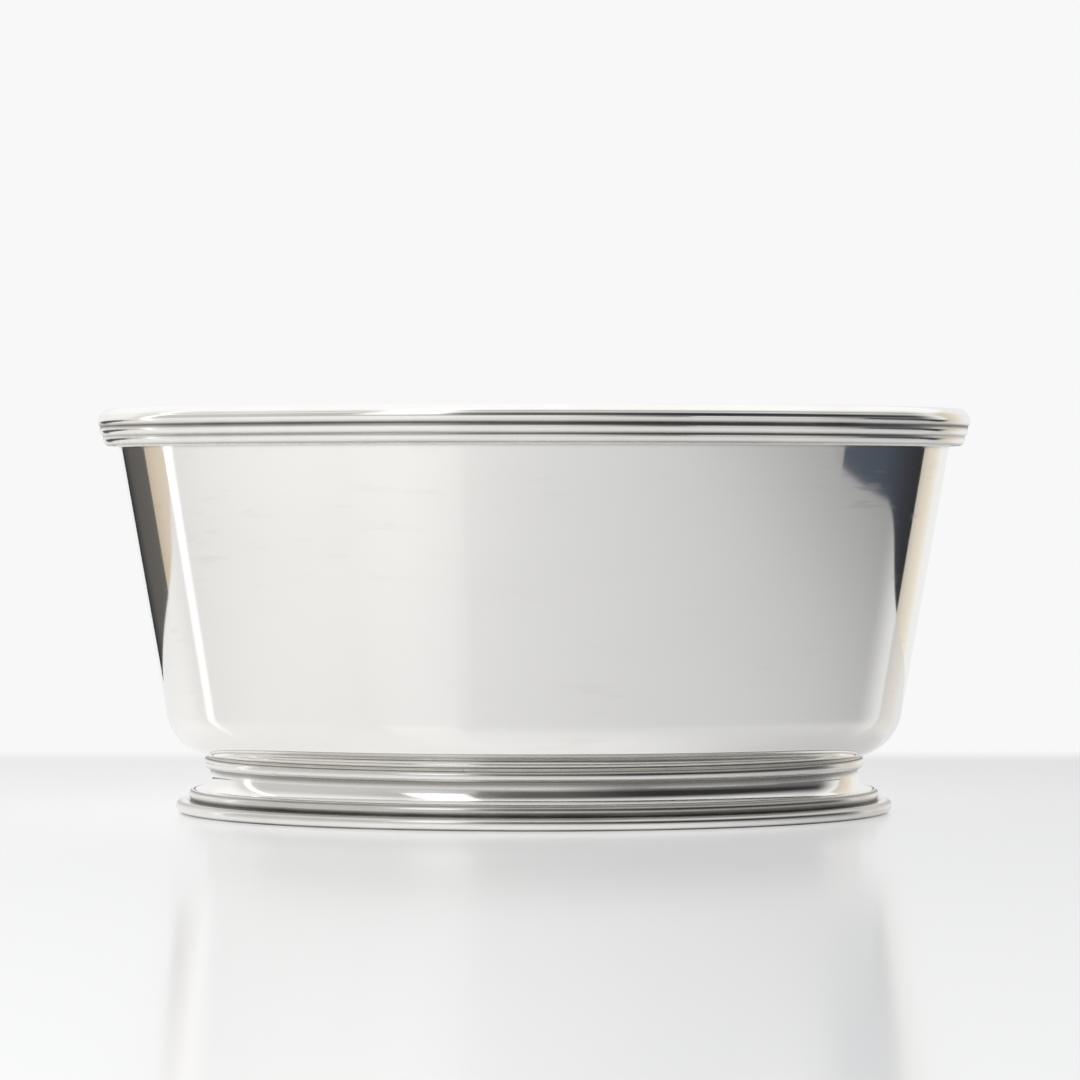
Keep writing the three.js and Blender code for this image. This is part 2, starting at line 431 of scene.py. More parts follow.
def moulding_silver(finish):
    """Drawn mouldings, polished by hand on their crests and grey with tarnish and painted shade in their
    grooves.
    """
    surface = Surface("hand_polished_moulding_silver")
    wear, recess = surface.wear, surface.recess
    lines = surface.turning_lines(*MOULDING_LINES)
    patches = surface.rubbed(*PATCH_SCALES)
    haze = weighed((patches.between(*PATCH_RAMP), wear), MOULDING_HAZE)
    bright = surface.mix(haze, solid(finish.moulding_colour), solid(finish.haze_colour))
    # Tarnish and painted shade in the grooves, varied by the patches
    darkened = recess * (patches * PATCHES_DARKENED + LEAST_DARKENED)
    base = surface.mix(darkened.maths("MINIMUM", MOST_TARNISH_AND_SHADE), bright, solid(finish.tarnish_and_shade_colour))
    roughness = finish.hand_polish + weighed((lines, wear, recess), MOULDING_GRAIN)
    return surface.finished(base, roughness, lines, MOULDING_RELIEF)


# Marks on the solder
FLOW_SCALES = (160, 900, 4.0)
FLOW_RAMP = (0.3, 0.8)
PIT_SCALES = (1400, 1400)
PIT_RAMP = (0.62, 0.72)
SOLDER_DIRT = (0.14, 0.25)  # flow, pits
SOLDER_GRAIN = (0.15, 0.2)  # flow, pits
SOLDER_RELIEF = 8.0e-6


def solder_silver(finish):
    """Satin solder, flowed and lightly pitted."""
    surface = Surface("satin_solder")
    flow = surface.rubbed(*FLOW_SCALES)
    pits = surface.rubbed(*PIT_SCALES).between(*PIT_RAMP)
    dirt = weighed((flow.between(*FLOW_RAMP), pits), SOLDER_DIRT)
    base = surface.mix(dirt, solid(finish.solder_colour), solid(finish.tarnish_and_shade_colour))
    roughness = finish.satin + weighed((flow, pits), SOLDER_GRAIN)
    return surface.finished(base, roughness, flow - pits, SOLDER_RELIEF)


# Turned profiles, given anticlockwise as (radius, height)


def at(radius, height):
    """The point of a section at a radius and a height."""
    return Vector((radius, height))


def arc(centre, radius, start, end, steps):
    """Points of an arc about a centre, from one angle to another."""
    points = []
    for step in range(steps + 1):
        angle = start + (end - start) * step / steps
        points.append(centre + Vector((math.cos(angle), math.sin(angle))) * radius)
    return points


def bow(start, end, rise, steps):
    """Points of an arc between two points, bowed by a rise to the right of the way it runs."""
    chord = end - start
    half = chord.length / 2
    radius = (half * half + rise * rise) / (2 * rise)
    right = Vector((chord.y, -chord.x)).normalized()
    centre = (start + end) / 2 + right * (rise - radius)
    first = math.atan2(start.y - centre.y, start.x - centre.x)
    return arc(centre, radius, first, first + 4 * math.atan2(rise, half), steps)


def line(start, end, steps=1):
    return [start.lerp(end, step / steps) for step in range(steps + 1)]


MOST_CUT = 0.5  # of the step that a cut ends in


def cut(run, length):
    """The run without a stretch at its start."""
    rest = list(run)
    while len(rest) > 2 and (rest[1] - rest[0]).length <= length:
        length -= (rest[1] - rest[0]).length
        rest.pop(0)
    step = rest[1] - rest[0]
    return [rest[0] + step * min(length / step.length, MOST_CUT)] + rest[1:]


def drawn_back(run, ease):
    """The run drawn back from the corner at its start, with a second point close behind the first."""
    return cut(run, ease)[:1] + cut(run, 2 * ease)


class Profile:
    """The section of one turned piece, made of runs that meet at eased corners."""

    EASE_STEPS = 4

    def __init__(self, ease, closed=True):
        self.ease = ease
        self.closed = closed
        self.runs = []
        self.wears = []
        self.recesses = []

    def run(self, points, wear=0.0):
        self.runs.append(points)
        self.wears.append(wear)

    def recess(self, spot, strength, reach):
        """Tarnish and painted shade of that strength darken the silver within reach of a spot."""
        self.recesses.append((spot, strength, reach))

    def shortened(self):
        """The runs, drawn back from every corner that is eased."""
        last = len(self.runs) - 1
        runs = []
        for place, run in enumerate(self.runs):
            if self.closed or place > 0:
                run = drawn_back(run, self.ease)
            if self.closed or place < last:
                run = drawn_back(run[::-1], self.ease)[::-1]
            runs.append(run)
        return runs

    def stations(self):
        """(point, wear) all along the section, ending on the first point where it is closed."""
        runs = self.shortened()
        stations = []
        for place, run in enumerate(runs):
            wear = self.wears[place]
            stations += [(point, wear) for point in run]
            if not self.closed and place == len(runs) - 1:
                break
            following = (place + 1) % len(runs)
            corner = self.runs[place][-1]
            for step in range(1, self.EASE_STEPS):
                t = step / self.EASE_STEPS
                point = run[-1].lerp(corner, t).lerp(corner.lerp(runs[following][0], t), t)
                stations.append((point, wear + (self.wears[following] - wear) * t))
        if self.closed:
            stations.append(stations[0])
        return stations

    def darkening(self, point):
        """How much tarnish and painted shade darken a point, from 0 to 1."""
        darkened = [
            strength * math.exp(-(((point - spot).length / reach) ** 2))
            for spot, strength, reach in self.recesses
        ]
        return max(darkened, default=0.0)

    def mesh(self, name):
        """The section as a line of points, with what the finishes need to know at each of them."""
        stations = self.stations()
        points = [point for point, _ in stations]
        along = [0.0]
        for before, after in zip(points, points[1:]):
            along.append(along[-1] + (after - before).length)
        mesh = bpy.data.meshes.new(name)
        edges = [(i, i + 1) for i in range(len(points) - 1)]
        mesh.from_pydata([(point.x, 0.0, point.y) for point in points], edges, [])
        wears = [wear for _, wear in stations]
        recesses = [self.darkening(point) for point in points]
        for key, numbers in zip(STATIONS, (along, wears, recesses)):
            mesh.attributes.new(key, "FLOAT", "POINT").data.foreach_set("value", numbers)
        return mesh


# Turning a profile about the axis

TURNING_INPUTS = {
    "Turns": "NodeSocketInt",
    "Ripple height": "NodeSocketFloat",
    "Ripple length": "NodeSocketFloat",
    "Ripple seed": "NodeSocketInt",
    "Silver": "NodeSocketMaterial",
}
MERGE_DISTANCE = 1e-6


def turning_tree():
    """Geometry nodes that turn a line of points about the axis into a closed, rippled shell."""
    name = "Turn profile"
    if name in bpy.data.node_groups:
        return bpy.data.node_groups[name]
    tree = bpy.data.node_groups.new(name, "GeometryNodeTree")
    tree.is_modifier = True
    tree.interface.new_socket("Profile", in_out="INPUT", socket_type="NodeSocketGeometry")
    for label, kind in TURNING_INPUTS.items():
        tree.interface.new_socket(label, in_out="INPUT", socket_type=kind)
    tree.interface.new_socket("Piece", in_out="OUTPUT", socket_type="NodeSocketGeometry")

    graph = Graph(tree)
    given = graph.node("NodeGroupInput", output="Profile")
    turns = given.output("Turns")
    stations = graph.node(
        "GeometryNodeAttributeDomainSize", {"component": "MESH"}, {"Geometry": given}, "Point Count"
    )
    index = graph.node("GeometryNodeInputIndex")
    column = (index / stations).maths("FLOOR")
    station = index - column * stations
    shell = graph.node("GeometryNodeMeshGrid", None, {"Vertices X": turns + 1, "Vertices Y": stations})

    def sampled(data_type, field):
        sockets = {"Geometry": given, "Value": field, "Index": station}
        return graph.node("GeometryNodeSampleIndex", {"data_type": data_type, "domain": "POINT"}, sockets)

    for key in STATIONS:
        field = graph.node("GeometryNodeInputNamedAttribute", {"data_type": "FLOAT"}, {"Name": key})
        sockets = {"Geometry": shell, "Name": key, "Value": sampled("FLOAT", field)}
        settings = {"data_type": "FLOAT", "domain": "POINT"}
        shell = graph.node("GeometryNodeStoreNamedAttribute", settings, sockets)

    position = graph.node("GeometryNodeInputPosition")
    radius, _, height = graph.split(sampled("FLOAT_VECTOR", position))
    angle = column / turns * FULL_TURN
    turned_to = graph.vector(radius * angle.maths("COSINE"), radius * angle.maths("SINE"), height)
    shell = graph.node("GeometryNodeSetPosition", None, {"Geometry": shell, "Position": turned_to})
    shell = graph.node("GeometryNodeMergeByDistance", None, {"Geometry": shell, "Distance": MERGE_DISTANCE})

    sockets = {
        "Vector": position,
        "W": given.output("Ripple seed"),
        "Scale": 1.0 / given.output("Ripple length"),
        "Detail": 0.0,
    }
    wave = graph.node("ShaderNodeTexNoise", {"noise_dimensions": "4D"}, sockets)
    push = (wave - NOISE_MIDDLE) * 2.0 * given.output("Ripple height")
    normal = graph.node("GeometryNodeInputNormal")
    offset = graph.node("ShaderNodeVectorMath", {"operation": "SCALE"}, {0: normal, "Scale": push})
    shell = graph.node("GeometryNodeSetPosition", None, {"Geometry": shell, "Offset": offset})
    shell = graph.node("GeometryNodeSetShadeSmooth", None, {"Geometry": shell})
    shell = graph.node("GeometryNodeRealizeInstances", None, {"Geometry": shell})
    sockets = {"Geometry": shell, "Material": given.output("Silver")}
    shell = graph.node("GeometryNodeSetMaterial", None, sockets)
    graph.node("NodeGroupOutput", None, {"Piece": shell})
    return tree


def point_outwards(mesh):
    """Turns the faces of a closed shell outwards."""
    shell = bmesh.new()
    shell.from_mesh(mesh)
    bmesh.ops.recalc_face_normals(shell, faces=shell.faces)
    shell.to_mesh(mesh)
    shell.free()


def turn_piece(context, node, profile, material):
    """Turns a profile into the piece that stands for a CAD node."""
    scene = context.scene
    tree = turning_tree()
    line_mesh = profile.mesh(node + "_profile")
    piece = bpy.data.objects.new(node + "_turned", line_mesh)
    scene.collection.objects.link(piece)
    modifier = piece.modifiers.new("Turning", "NODES")
    modifier.node_group = tree
    inputs = {
        "Turns": scene.bowl_joints.turns,
        "Ripple height": scene.bowl_body.ripple_height,
        "Ripple length": scene.bowl_body.ripple_length,
        "Ripple seed": scene.bowl_body.ripple_seed,
        "Silver": material,
    }
    for item in tree.interface.items_tree:
        if item.in_out == "INPUT" and item.name in inputs:
            modifier[item.identifier] = inputs[item.name]
    graph = context.evaluated_depsgraph_get()
    mesh = bpy.data.meshes.new_from_object(
        piece.evaluated_get(graph), preserve_all_data_layers=True, depsgraph=graph
    )
    piece.modifiers.remove(modifier)
    piece.data = mesh
    bpy.data.meshes.remove(line_mesh)
    mesh.name = piece.name
    point_outwards(mesh)
    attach(piece, WHOLE_BODY)
    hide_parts(node)


# Places that several pieces share


class Wall:
    """The straight outside of the body, between its corner and its lip."""

    def __init__(self, scene):
        body, rim = scene.bowl_body, scene.bowl_rim
        floor_level = scene.bowl_foot.height
        self.sheet = body.sheet
        self.corner_radius = body.corner_radius
        self.corner = at(body.floor_diameter / 2, floor_level + body.corner_radius)
        self.lip = at(body.mouth_diameter / 2, floor_level + body.depth)
        to_lip = self.lip - self.corner
        self.normal = math.atan2(to_lip.y, to_lip.x) - math.acos(body.corner_radius / to_lip.length)
        self.out = Vector((math.cos(self.normal), math.sin(self.normal)))
        self.up = at(-self.out.y, self.out.x)
        self.rim_top = self.lip + self.up * rim.cap_height
        self.toe_drop = rim.cap_band + rim.reed_band

    def rim_point(self, drop, depth):
        """A point of the rim, a drop below the moulding's top and a depth out from the wall."""
        return self.rim_top - self.up * drop + self.out * depth

    def at_height(self, height, depth):
        """The point at a height on the line that runs up the wall at a depth from its outside."""
        start = self.lip + self.out * depth
        return start + self.up * ((height - start.y) / self.up.y)

    def under_body(self, radius):
        """The point of the body's underside at a radius: flat, then round the corner."""
        beyond = max(radius - self.corner.x, 0.0)
        return at(radius, self.corner.y - math.sqrt(self.corner_radius ** 2 - beyond ** 2))


class FootPlaces:
    """Radii and levels that the pieces of the foot share."""

    def __init__(self, scene):
        foot, gap = scene.bowl_foot, scene.bowl_joints.gap
        self.neck = foot.neck_diameter / 2
        self.flange_inside = self.neck - foot.flange_width
        self.hollow = at(self.neck + foot.hollow_radius, foot.base_height + foot.hollow_height)
        self.hollow_sweep = math.asin(foot.hollow_height / foot.hollow_radius)
        sweep_end = self.hollow.x - foot.hollow_radius * math.cos(self.hollow_sweep)
        self.ring_edge = sweep_end + foot.edge_width
        self.top = foot.height - gap
        self.collet_inside = self.neck + gap
        self.collet_outside = self.collet_inside + foot.collet_flare
        self.collet_top = Wall(scene).under_body(self.collet_inside).y - gap
        self.collet_foot = self.collet_top - foot.collet_height
        self.seat_level = foot.base_height - foot.sheet - gap
        self.seat_outside = self.ring_edge + gap
        self.seat_inside = self.ring_edge - foot.seat_width


DOWNWARD = -math.pi / 2
FLOOR_STEPS = 24
CORNER_STEPS = 44
WALL_STEPS = 56
SHADED_STEPS = 30
SHADED_BAND = 2.0 * MM
REED_STEPS = 18
CAP_STEPS = 24
BEAD_STEPS = 16
SWEEP_STEPS = 20
RING_EDGE_STEPS = 8
FLANGE_STEPS = 4
SHORT_STEPS = 3
LIP_STEPS = 2
INSIDE_WALL_WEAR = 0.25
INSIDE_FLOOR_WEAR = 0.8
UNDERSIDE_WEAR = 1.0
SOLE_WEAR = 1.0
HOLLOW_WEAR = 0.5
BEAD_WEAR = 0.5
GROOVE_REACH = 0.32 * MM
SOLDER_SETBACK = 0.1 * MM

# Tarnish and painted shade as (strength, reach); the shoulder and bead-top spots hold painted shade only,
# which dims what those crests mirror
REED_TARNISH_AND_SHADE = ((0.7, 0.85 * MM), (0.55, 0.68 * MM), (1.0, 0.68 * MM), (0.1, 0.3 * MM))  # from the toe up
FILLET_TARNISH_AND_SHADE = (0.35, 0.45 * MM)
JOINT_TARNISH = (0.1, 0.25 * MM)
COLLET_TARNISH_AND_SHADE = (0.95, 0.85 * MM)
COLLET_TOP_TARNISH_AND_SHADE = (0.9, 0.45 * MM)
SHOULDER_PAINTED_SHADE = (0.85, 0.45 * MM)
STEP_TARNISH_AND_SHADE = (1.0, 0.75 * MM)
BEAD_TARNISH_AND_SHADE = (0.9, 0.6 * MM)
BEAD_TOP_PAINTED_SHADE = (0.7, 0.65 * MM)
SHOULDER_SHADE_SPOT = Vector((0.3, -0.4)) * MM
STEP_SPOT = Vector((0.4, 0.6)) * MM
BEAD_TOP_SHADE_SPOT = Vector((0.6, -0.5)) * MM


def moulding_profile(joints):
    """An empty section with the finer edges of a drawn moulding."""
    return Profile(joints.edge_ease / 2)


class SilverOperator(bpy.types.Operator):
    """Shared settings of the operators, each of which builds its own part of the scene."""

    bl_options = {"REGISTER", "UNDO"}

    def execute(self, context):
        self.build(context)
        return {"FINISHED"}


class BOWL_OT_spin_body(SilverOperator):
    """Spin the body: floor, corner and wall in one sheet"""

    bl_idname = "bowl.spin_body"
    bl_label = "Spin Body"

    def build(self, context):
        scene = context.scene
        body, wall = scene.bowl_body, Wall(scene)
        floor_level = scene.bowl_foot.height
        floor_edge = body.floor_diameter / 2
        inner_radius = body.corner_radius - body.sheet
        lip_inside = wall.at_height(wall.lip.y, -body.sheet)
        outside = arc(wall.corner, body.corner_radius, DOWNWARD, wall.normal, CORNER_STEPS)
        inside = arc(wall.corner, inner_radius, wall.normal, DOWNWARD, CORNER_STEPS)
        joint = wall.under_body(FootPlaces(scene).collet_outside)
        fillet_end = wall.rim_point(wall.toe_drop + scene.bowl_joints.fillet, 0.0)
        shaded = fillet_end - wall.up * SHADED_BAND
        profile = Profile(scene.bowl_joints.edge_ease, closed=False)
        underside = line(at(0.0, floor_level), at(floor_edge, floor_level), FLOOR_STEPS)
        profile.run(underside, UNDERSIDE_WEAR)
        upright = line(outside[-1], shaded, WALL_STEPS) + line(shaded, wall.lip, SHADED_STEPS)[1:]
        profile.run(outside + upright[1:])
        profile.run(line(wall.lip, lip_inside, LIP_STEPS))
        profile.run(line(lip_inside, inside[0], WALL_STEPS) + inside[1:], INSIDE_WALL_WEAR)
        inside_level = floor_level + body.sheet
        upside = line(at(floor_edge, inside_level), at(0.0, inside_level), FLOOR_STEPS)
        profile.run(upside, INSIDE_FLOOR_WEAR)
        # Tarnish and painted shade just under the rim moulding's fillet, and a faint dark joint at the collet
        profile.recess(fillet_end, *FILLET_TARNISH_AND_SHADE)
        profile.recess(joint, *JOINT_TARNISH)
        turn_piece(context, "bowl_body", profile, sheet_silver(scene.bowl_finish))


class BOWL_OT_cap_rim(SilverOperator):
    """Cap the lip with the reeded moulding"""

    bl_idname = "bowl.cap_rim"
    bl_label = "Cap Rim"

    def build(self, context):
        scene = context.scene
        rim, joints, wall = scene.bowl_rim, scene.bowl_joints, Wall(scene)
        toe = wall.rim_point(wall.toe_drop, rim.toe_depth)
        toe_inside = wall.rim_point(wall.toe_drop, joints.gap)
        first_groove = wall.rim_point(rim.cap_band, rim.groove_depth)
        grooves = bow(toe, first_groove, rim.rim_rise, rim.reed_count)
        inner_edge = wall.rim_point(rim.cap_ease, -wall.sheet)
        seat_inside = wall.at_height(wall.lip.y + joints.gap, -wall.sheet)
        seat_outside = wall.at_height(wall.lip.y + joints.gap, joints.gap)
        profile = moulding_profile(joints)
        profile.run(line(toe_inside, toe))
        for low, high in zip(grooves, grooves[1:]):
            profile.run(bow(low, high, rim.reed_rise, REED_STEPS))
        profile.run(bow(first_groove, inner_edge, rim.cap_rise, CAP_STEPS))
        profile.run(line(inner_edge, seat_inside))
        profile.run(line(seat_inside, seat_outside))
        profile.run(line(seat_outside, toe_inside))
        # Tarnish and painted shade in the grooves between the reeds and in the seams
        for spot, tarnish in zip(grooves, REED_TARNISH_AND_SHADE):
            profile.recess(spot, *tarnish)
        for spot in (toe_inside, seat_inside):
            profile.recess(spot, 1.0, GROOVE_REACH)
        turn_piece(context, "rim_moulding", profile, moulding_silver(scene.bowl_finish))


class BOWL_OT_raise_foot(SilverOperator):
    """Raise the foot: spun ring, collet wire and base moulding"""

    bl_idname = "bowl.raise_foot"
    bl_label = "Raise Foot"

    def build(self, context):
        scene = context.scene
        places = FootPlaces(scene)
        moulding = moulding_silver(scene.bowl_finish)
        ring = self.ring(scene, places)
        turn_piece(context, "foot_ring", ring, sheet_silver(scene.bowl_finish))
        turn_piece(context, "foot_collet_wire", self.collet(scene, places), moulding)
        turn_piece(context, "foot_base_moulding", self.base(scene, places), moulding)

    def ring(self, scene, places):
        foot = scene.bowl_foot
        inward = math.pi
        under_radius = foot.hollow_radius + foot.sheet
        under_sweep = math.asin((foot.hollow_height + foot.sheet) / under_radius)
        underside = arc(places.hollow, under_radius, inward, inward + under_sweep, SWEEP_STEPS)
        outside = arc(places.hollow, foot.hollow_radius, inward + places.hollow_sweep, inward, SWEEP_STEPS)
        edge_low = at(places.ring_edge, foot.base_height - foot.sheet)
        edge_high = at(places.ring_edge, foot.base_height)
        flange_low = places.top - foot.sheet
        flange_inner_low = at(places.flange_inside, flange_low)
        neck_inner = at(places.neck - foot.sheet, flange_low)
        neck_top = at(places.neck, places.top)
        flange_inner_top = at(places.flange_inside, places.top)
        profile = Profile(scene.bowl_joints.edge_ease)
        profile.run(line(flange_inner_low, neck_inner, FLANGE_STEPS), UNDERSIDE_WEAR)
        profile.run(line(neck_inner, underside[0], SHORT_STEPS) + underside[1:], UNDERSIDE_WEAR)
        profile.run(line(underside[-1], edge_low, FLANGE_STEPS), UNDERSIDE_WEAR)
        profile.run(line(edge_low, edge_high))
        profile.run(line(edge_high, outside[0], RING_EDGE_STEPS), HOLLOW_WEAR)
        profile.run(outside + line(outside[-1], neck_top, FLANGE_STEPS)[1:], HOLLOW_WEAR)
        profile.run(line(neck_top, flange_inner_top))
        profile.run(line(flange_inner_top, flange_inner_low), UNDERSIDE_WEAR)
        # Tarnish and painted shade where the collet wire sits on the neck, and in the seam
        profile.recess(at(places.neck, places.collet_foot), *COLLET_TARNISH_AND_SHADE)
        profile.recess(neck_inner, 1.0, GROOVE_REACH)
        return profile

    def collet(self, scene, places):
        foot = scene.bowl_foot
        low = at(places.collet_inside, places.collet_foot)
        high = at(places.collet_outside, places.collet_top)
        back = at(places.collet_inside, places.collet_top)
        profile = moulding_profile(scene.bowl_joints)
        profile.run(bow(low, high, foot.collet_rise, BEAD_STEPS), BEAD_WEAR)
        profile.run(line(high, back))
        profile.run(line(back, low, SHORT_STEPS))
        # Tarnish and painted shade under the collet wire and where it meets the body
        profile.recess(low, *COLLET_TARNISH_AND_SHADE)
        profile.recess(high, *COLLET_TOP_TARNISH_AND_SHADE)
        return profile

    def base(self, scene, places):
        foot = scene.bowl_foot
        groove_radius = places.seat_outside + foot.shoulder_width
        bead_radius = groove_radius + foot.ledge_width
        sole_inside = at(places.seat_inside, 0.0)
        sole_outside = at(bead_radius, 0.0)
        bead_low = at(bead_radius, foot.sole_lift)
        bead_high = at(bead_radius, foot.step_level)
        groove = at(groove_radius, foot.step_level)
        step_top = at(groove_radius, foot.base_height)
        shoulder = at(places.seat_outside, foot.base_height)
        seat_outside = at(places.seat_outside, places.seat_level)
        seat_inside = at(places.seat_inside, places.seat_level)
        profile = moulding_profile(scene.bowl_joints)
        profile.run(line(sole_inside, sole_outside, SHORT_STEPS), SOLE_WEAR)
        profile.run(line(sole_outside, bead_low))
        profile.run(bow(bead_low, bead_high, foot.base_rise, BEAD_STEPS), BEAD_WEAR)
        profile.run(line(bead_high, groove, SHORT_STEPS), BEAD_WEAR)
        profile.run(bow(groove, step_top, foot.step_rise, BEAD_STEPS), BEAD_WEAR)
        profile.run(line(step_top, shoulder))
        profile.run(line(shoulder, seat_outside))
        profile.run(line(seat_outside, seat_inside))
        profile.run(line(seat_inside, sole_inside, SHORT_STEPS), UNDERSIDE_WEAR)
        # Painted shade on the step bead's shoulder and the base bead's top; tarnish and painted shade by the
        # groove and round the sole
        profile.recess(step_top + SHOULDER_SHADE_SPOT, *SHOULDER_PAINTED_SHADE)
        profile.recess(groove + STEP_SPOT, *STEP_TARNISH_AND_SHADE)
        profile.recess(bead_high + BEAD_TOP_SHADE_SPOT, *BEAD_TOP_PAINTED_SHADE)
        for spot in (bead_low, sole_outside):
            profile.recess(spot, *BEAD_TARNISH_AND_SHADE)
        return profile


class BOWL_OT_run_solder(SilverOperator):
    """Run the four solder seams that hold the pieces together"""

    bl_idname = "bowl.run_solder"
    bl_label = "Run Solder"

    def build(self, context):
        scene = context.scene
        foot, joints, places = scene.bowl_foot, scene.bowl_joints, FootPlaces(scene)
        clear = joints.clearance
        washers = {
            "foot_solder_seam": (
                places.flange_inside, places.neck, places.top + clear, foot.height - clear
            ),
            "base_solder_seam": (
                places.seat_inside, places.ring_edge,
                places.seat_level + clear, places.seat_level + joints.gap - clear,
            ),
        }
        solder = solder_silver(scene.bowl_finish)
        turn_piece(context, "rim_solder_seam", self.rim_seam(scene), solder)
        turn_piece(context, "collet_solder_seam", self.collet_seam(scene), solder)
        for node, edges in washers.items():
            turn_piece(context, node, self.washer(joints, *edges), solder)

    def washer(self, joints, inner, outer, low, high):
        corners = [Vector(spot) for spot in ((inner, low), (outer, low), (outer, high), (inner, high))]
        return self.closed_through(joints, corners)

    def rim_seam(self, scene):
        joints, wall = scene.bowl_joints, Wall(scene)
        inner, outer = joints.clearance, joints.gap - joints.clearance
        fillet_top = wall.toe_drop + joints.clearance
        corners = [
            wall.rim_point(fillet_top + joints.fillet, inner),
            wall.rim_point(fillet_top, inner + joints.fillet),
            wall.rim_point(fillet_top, outer),
            wall.at_height(wall.lip.y, outer),
            wall.at_height(wall.lip.y, inner),
        ]
        return self.closed_through(joints, corners)

    def collet_seam(self, scene):
        """Solder behind the collet wire and over it, out to the joint that shows under the body."""
        clear, places, wall = scene.bowl_joints.clearance, FootPlaces(scene), Wall(scene)
        lift = at(0.0, clear)
        front = places.collet_outside - SOLDER_SETBACK
        inner, outer = places.neck + clear, places.collet_inside - clear
        corners = [
            at(inner, places.collet_foot),
            at(outer, places.collet_foot),
            at(outer, places.collet_top) + lift,
            at(front, places.collet_top) + lift,
            wall.under_body(front) - lift,
            wall.under_body(inner) - lift,
        ]
        return self.closed_through(scene.bowl_joints, corners)

    def closed_through(self, joints, corners):
        profile = Profile(joints.solder_ease)
        for start, end in zip(corners, corners[1:] + corners[:1]):
            profile.run(line(start, end))
        return profile


# Studio


def towards(azimuth):
    """A level direction, by degrees from the camera's side round to the right."""
    angle = math.radians(azimuth)
    return Vector((math.sin(angle), -math.cos(angle), 0.0))


def stage_object(scene, name, mesh, material, hidden_from):
    """Stages an object that some kinds of rays pass by."""
    mesh.materials.append(material)
    item = bpy.data.objects.new(name, mesh)
    scene.collection.objects.link(item)
    for ray in hidden_from:
        setattr(item, "visible_" + ray, False)


# Cards, by azimuth: the height of their lower and upper edge and their colours
CARD_DISTANCE = 3.0
DEEP = -0.9
SHALLOW = -0.38
LEVEL = 0.0
CARDS = {
    "right_floor_card": (DEEP, LEVEL, (
        (40, grey(0.9)), (75, grey(0.7)), (86, grey(0.45)), (94.3, grey(0.36)),
    )),
    "right_shade_card": (DEEP, LEVEL, (
        (94.3, (0.085, 0.10, 0.125)), (112, (0.066, 0.082, 0.105)), (126, (0.045, 0.048, 0.058)),
        (136.3, grey(0.03)),
    )),
    "right_cream_card": (DEEP, 1.2, (
        (136.3, (0.58, 0.53, 0.46)), (141, (0.72, 0.66, 0.57)), (147, (0.82, 0.75, 0.64)),
        (154, (0.90, 0.89, 0.87)), (164, grey(0.88)), (178, grey(0.86)),
    )),
    "left_shade_card": (SHALLOW, LEVEL, (
        (-135.6, (0.135, 0.125, 0.118)), (-150, (0.115, 0.107, 0.10)), (-157, grey(0.06)),
        (-161, grey(0.015)),
    )),
    "left_tan_card": (SHALLOW, LEVEL, (
        (-122.6, (0.72, 0.64, 0.54)), (-129, (0.68, 0.59, 0.48)), (-135.6, (0.58, 0.49, 0.38)),
    )),
    "left_bright_card": (DEEP, 2.0, ((-118.0, grey(1.5)), (-122.6, grey(1.5)))),
    "front_sill_card": (0.4, 1.2, ((-20, grey(0.5)), (-36, grey(0.68)), (-52, grey(0.6)))),
    "front_window_card": (1.2, 8.0, ((-24, grey(1.3)), (-36, grey(1.4)), (-48, grey(1.3)))),
}


def card_tone():
    """Plain glow of the colour that each edge of a card carries."""
    graph = Material("card_tone")
    tone = graph.node("ShaderNodeAttribute", {"attribute_name": "tone"}, output="Color")
    graph.material.cycles.emission_sampling = "NONE"
    return graph.shown(graph.node("ShaderNodeEmission", None, {"Color": tone}))


def stand_card(scene, name, material, low, high, stops):
    """Stands a card round the table that only shows in reflections; stops are (azimuth, colour)."""
    points, tones = [], []
    for azimuth, tone in stops:
        edge = towards(azimuth) * CARD_DISTANCE
        points += [(edge.x, edge.y, low), (edge.x, edge.y, high)]
        tones += solid(tone) * 2
    faces = [(i, i + 1, i + 3, i + 2) for i in range(0, len(points) - 2, 2)]
    mesh = bpy.data.meshes.new(name)
    mesh.from_pydata(points, [], faces)
    mesh.attributes.new("tone", "FLOAT_COLOR", "POINT").data.foreach_set("color", tones)
    stage_object(scene, name, mesh, material, ("camera", "diffuse", "transmission", "shadow"))


TABLE_CORNERS = (
    (0.515, 0.226), (0.34, 0.228), (0.24, 0.44), (-0.235, 0.44), (-0.41, 0.238), (-1.3, 0.236),
    (-1.3, -0.62), (0.363, -0.62),
)
TABLE_ROUNDING = 0.07
ROUNDING_STEPS = 10
TABLE_DROP = 0.3 * MM
FLOOR_REACH = 6.0
LACQUER_IOR = 1.45

# Fades of the table's light and shade, in metres across it, but BESIDE_FADE as a share of the radius
SHADE_FADE = (0.2, 0.6)
LIGHT_FADE = (-0.2, 0.06)
BESIDE_FADE = (0.2, 1.0)
FOOT_FADE = (0.098, 0.15)
FOOT_SIDES = (-0.05, 0.05)
LEFT_SHADE = 0.18
RIGHT_SHADE = 0.55

# Fades of the floor into the backdrop, in metres from the bowl
FAR_FADE = (0.27, 0.36)
SIDE_FADE = (0.6, 1.2)
NEAR_FADE = (1.1, 1.9)


def lacquer(graph, studio, base):
    """Lacquer that mirrors softly at a low angle."""
    sockets = {"Base Color": base, "Roughness": studio.table_gloss, "IOR": LACQUER_IOR}
    return graph.node("ShaderNodeBsdfPrincipled", None, sockets)


